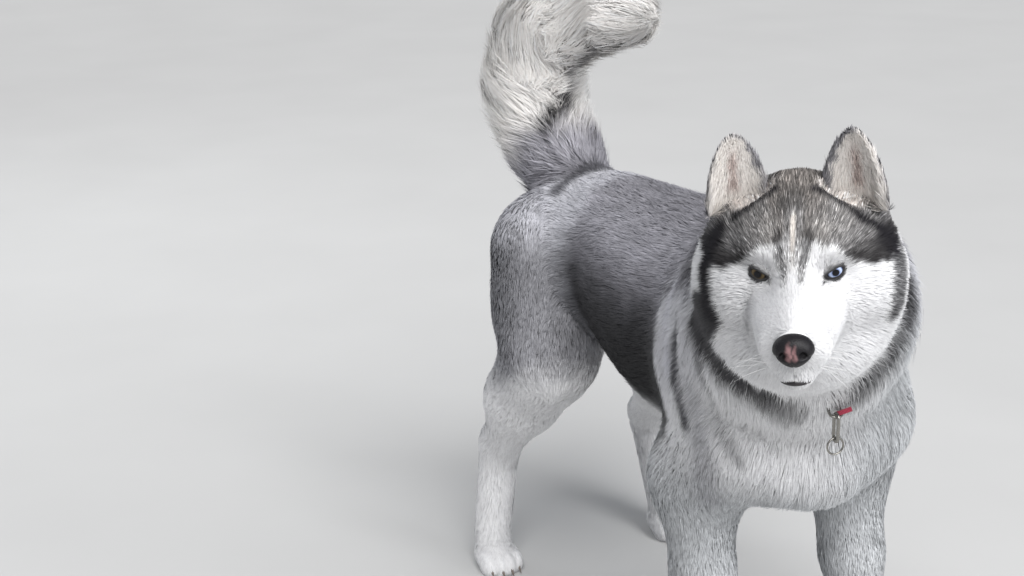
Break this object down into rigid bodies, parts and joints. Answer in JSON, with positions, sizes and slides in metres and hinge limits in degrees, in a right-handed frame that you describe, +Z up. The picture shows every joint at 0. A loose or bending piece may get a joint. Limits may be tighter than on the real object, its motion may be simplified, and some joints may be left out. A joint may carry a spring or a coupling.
{
  "type": "siberian husky",
  "caption": "Standing husky, head turned to its right, bushy sickle tail raised, prick ears, collar with a loop, a link and a small ring.",
  "frame": {"origin": "on the floor under the middle of the whole dog's bounding box", "axes": "the body faces -Y, the dog's left side is +X, +Z is up, and the paws stand on z = 0"},
  "size_m": [0.37, 0.9546, 0.7583],
  "materials": {
    "coat_white": "dense white double coat, matt",
    "coat_grey": "banded grey guard hairs over a pale undercoat, matt",
    "coat_cream": "long creamy white tail hair, soft",
    "nose_leather": "black pebbled nose leather with a pink patch, moist sheen",
    "eye_amber": "amber brown iris under a clear wet cornea",
    "eye_blue": "pale blue iris with a dark outer ring under a clear wet cornea",
    "claw_horn": "dark worn horn",
    "collar_webbing": "red woven webbing",
    "ring_steel": "plated steel wire, slightly worn"
  },
  "bodies": {
    "root": {"chest": "coat_grey", "belly": "coat_grey", "rump": "coat_grey", "neck_lower": "coat_grey", "neck_upper": "coat_grey", "collar": "collar_webbing", "foreleg_right_upper": "coat_grey", "foreleg_right_lower": "coat_white", "foreleg_right_pastern": "coat_white", "foreleg_right_paw": "coat_white", "foreleg_right_claw_1": "claw_horn", "foreleg_right_claw_2": "claw_horn", "foreleg_right_claw_3": "claw_horn", "foreleg_right_claw_4": "claw_horn", "hind_leg_right_upper": "coat_grey", "hind_leg_right_lower": "coat_white", "hind_leg_right_pastern": "coat_white", "hind_leg_right_paw": "coat_white", "hind_leg_right_claw_1": "claw_horn", "hind_leg_right_claw_2": "claw_horn", "hind_leg_right_claw_3": "claw_horn", "hind_leg_right_claw_4": "claw_horn", "foreleg_left_upper": "coat_grey", "foreleg_left_lower": "coat_white", "foreleg_left_pastern": "coat_white", "foreleg_left_paw": "coat_white", "foreleg_left_claw_1": "claw_horn", "foreleg_left_claw_2": "claw_horn", "foreleg_left_claw_3": "claw_horn", "foreleg_left_claw_4": "claw_horn", "hind_leg_left_upper": "coat_grey", "hind_leg_left_lower": "coat_white", "hind_leg_left_pastern": "coat_white", "hind_leg_left_paw": "coat_white", "hind_leg_left_claw_1": "claw_horn", "hind_leg_left_claw_2": "claw_horn", "hind_leg_left_claw_3": "claw_horn", "hind_leg_left_claw_4": "claw_horn", "tail_root": "coat_grey", "tail_lower": "coat_cream", "tail_upper": "coat_cream", "tail_tip": "coat_cream", "head": "coat_white", "jaw": "coat_white", "ear_right": "coat_white", "ear_left": "coat_white", "eye_right": "eye_amber", "eye_left": "eye_blue", "nose": "nose_leather", "ring": "ring_steel", "link": "ring_steel", "collar_loop": "ring_steel"}
  },
  "joints": []
}
